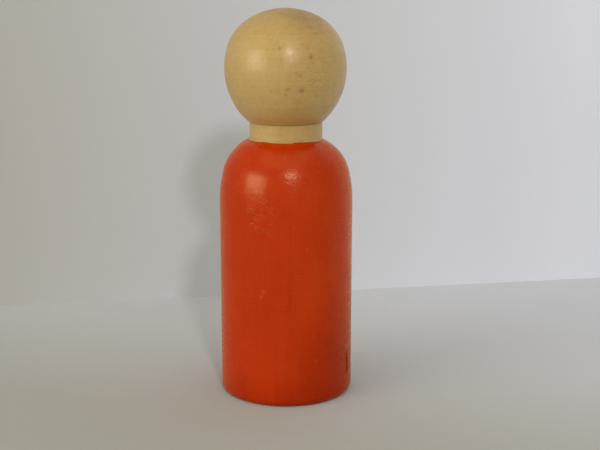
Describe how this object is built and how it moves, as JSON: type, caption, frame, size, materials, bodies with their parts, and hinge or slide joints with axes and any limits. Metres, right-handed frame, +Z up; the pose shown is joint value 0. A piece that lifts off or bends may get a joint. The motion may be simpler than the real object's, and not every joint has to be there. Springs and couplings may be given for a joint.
{
  "type": "wooden peg doll",
  "caption": "Turned wooden peg doll: a plain ball head on a short neck over a round-shouldered painted body that stands on a flat base.",
  "frame": {"origin": "centre of the flat underside of the body, on the turning axis", "axes": "+Z up along the turning axis, -Y towards the doll's front, +X to the right as seen from the front"},
  "size_m": [0.031, 0.031, 0.09],
  "materials": {
    "bare_wood": "fine pale hardwood, turned and sanded, under a clear satin varnish",
    "orange_paint": "opaque orange-red acrylic, brushed on by hand, semi-gloss, with the grain showing through faintly",
    "wood_glue": "cured wood glue, pale amber and dull"
  },
  "bodies": {
    "root": {"body": "bare_wood", "head": "bare_wood", "body_paint": "orange_paint", "neck_glue": "wood_glue"}
  },
  "joints": []
}
